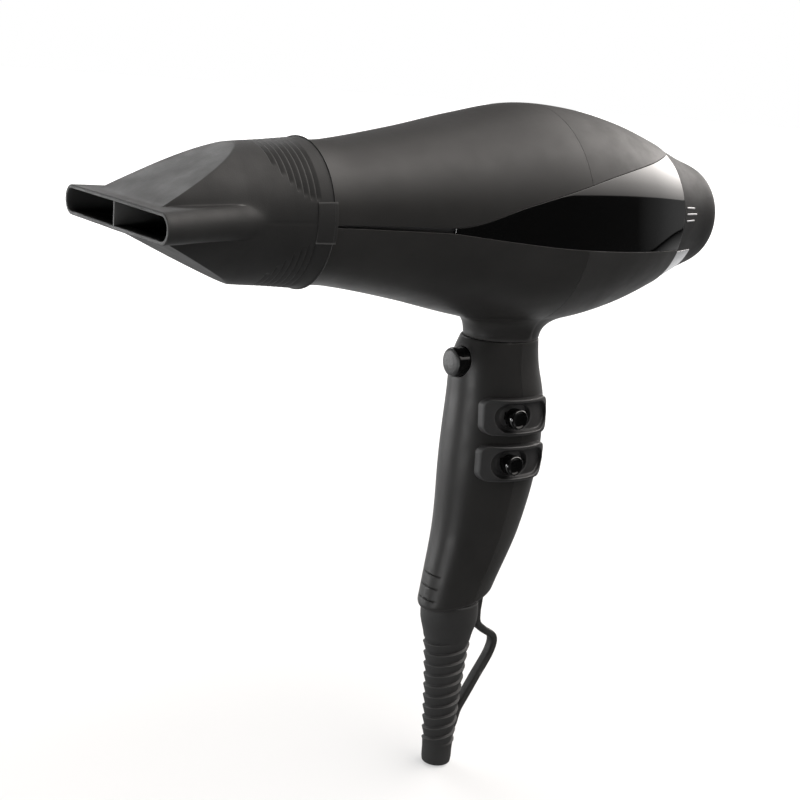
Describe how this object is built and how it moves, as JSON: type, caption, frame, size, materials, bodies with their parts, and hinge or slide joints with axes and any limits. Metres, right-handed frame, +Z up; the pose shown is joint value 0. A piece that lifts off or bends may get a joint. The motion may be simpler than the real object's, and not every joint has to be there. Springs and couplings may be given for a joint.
{
  "type": "hair dryer",
  "caption": "Handheld hair dryer with a turning slot nozzle, twist-off rear filter cap, side slide switches, cool-shot button and a hanging loop on the strain relief.",
  "frame": {"origin": "on the barrel's axis, directly above the middle of the handle", "axes": "+Z up with the handle hanging below, -Y along the barrel towards the outlet, +X towards the side with the switches"},
  "size_m": [0.0866, 0.2685, 0.2798],
  "materials": {
    "satin_body": "soft satin, very fine grain",
    "nozzle_plastic": "matte, fine moulded grain",
    "cap_plastic": "satin",
    "gloss_trim": "piano black",
    "bright_trim": "polished",
    "soft_rubber": "satin rubber",
    "inner_plastic": "plain moulded",
    "steel": "drawn and turned",
    "brass": "turned",
    "copper": "enamelled winding",
    "mica": "layered mica sheet",
    "fibre_board": "glass-fibre board",
    "magnet": "sintered",
    "brown_lead": "smooth insulation",
    "blue_lead": "smooth insulation"
  },
  "bodies": {
    "housing": {"front_upper_shell": "satin_body", "front_lower_shell": "satin_body", "rear_upper_shell": "satin_body", "rear_lower_shell": "satin_body", "side_panel_right": "gloss_trim", "side_panel_left": "gloss_trim", "handle_front_shell": "satin_body", "handle_rear_cover": "satin_body", "handle_screw_upper": "steel", "handle_screw_lower": "steel", "speed_bezel": "nozzle_plastic", "speed_switch": "inner_plastic", "heat_bezel": "nozzle_plastic", "heat_switch": "inner_plastic", "control_board": "fibre_board", "cool_shot_spring": "steel", "cool_shot_switch": "inner_plastic", "strain_relief": "soft_rubber", "hanging_loop": "soft_rubber", "cord_clamp": "inner_plastic", "clamp_screw_left": "steel", "clamp_screw_right": "steel", "live_lead": "brown_lead", "neutral_lead": "blue_lead", "outlet_grille": "inner_plastic", "heater_sleeve": "mica", "heater_board_upright": "mica", "heater_board_flat": "mica", "heater_coil_front": "steel", "heater_coil_rear": "steel", "thermostat": "brass", "thermal_fuse": "steel", "ion_generator": "inner_plastic", "ion_needle": "steel", "fan_duct": "inner_plastic", "motor_mount": "inner_plastic", "motor_can": "steel", "motor_bush_front": "brass", "motor_bush_rear": "brass", "motor_magnet_right": "magnet", "motor_magnet_left": "magnet", "brush_upper": "magnet", "brush_lower": "magnet"},
    "nozzle_ring": {"nozzle_snap_ring": "inner_plastic"},
    "nozzle": {"nozzle": "nozzle_plastic"},
    "filter": {"filter_frame": "inner_plastic", "filter_mesh": "steel"},
    "rear_cap": {"rear_cap": "cap_plastic", "rear_trim_strip": "bright_trim", "cap_mark_1": "bright_trim", "cap_mark_2": "bright_trim", "cap_mark_3": "bright_trim"},
    "rotor": {"motor_shaft": "steel", "armature": "copper", "commutator": "brass", "impeller": "inner_plastic"},
    "cool_shot": {"cool_shot_button": "gloss_trim"},
    "speed_slider": {"speed_knob": "gloss_trim"},
    "heat_slider": {"heat_knob": "gloss_trim"}
  },
  "joints": [
    {"name": "nozzle_pull", "type": "slide", "parent": "housing", "child": "nozzle_ring", "axis": [0, -1, 0], "range_m": [0, 0.03]},
    {"name": "nozzle_turn", "type": "hinge", "parent": "nozzle_ring", "child": "nozzle", "pos_m": [0, -0.105, 0], "axis": [0, 1, 0], "continuous": true},
    {"name": "filter_pull", "type": "slide", "parent": "housing", "child": "filter", "axis": [0, 1, 0], "range_m": [0, 0.03]},
    {"name": "cap_turn", "type": "hinge", "parent": "filter", "child": "rear_cap", "pos_m": [0, 0.07, -0.0008], "axis": [0, 1, 0], "range_deg": [0, 25]},
    {"name": "fan_spin", "type": "hinge", "parent": "housing", "child": "rotor", "pos_m": [0, 0, -0.0008], "axis": [0, 1, 0], "continuous": true},
    {"name": "cool_shot_press", "type": "slide", "parent": "housing", "child": "cool_shot", "axis": [0, 1, 0], "range_m": [0, 0.0015], "stiffness_N_per_m": 1200, "deforming": ["cool_shot_spring"]},
    {"name": "speed_slide", "type": "slide", "parent": "housing", "child": "speed_slider", "axis": [0, 1, 0], "range_m": [0, 0.0048]},
    {"name": "heat_slide", "type": "slide", "parent": "housing", "child": "heat_slider", "axis": [0, 1, 0], "range_m": [0, 0.0048]}
  ]
}
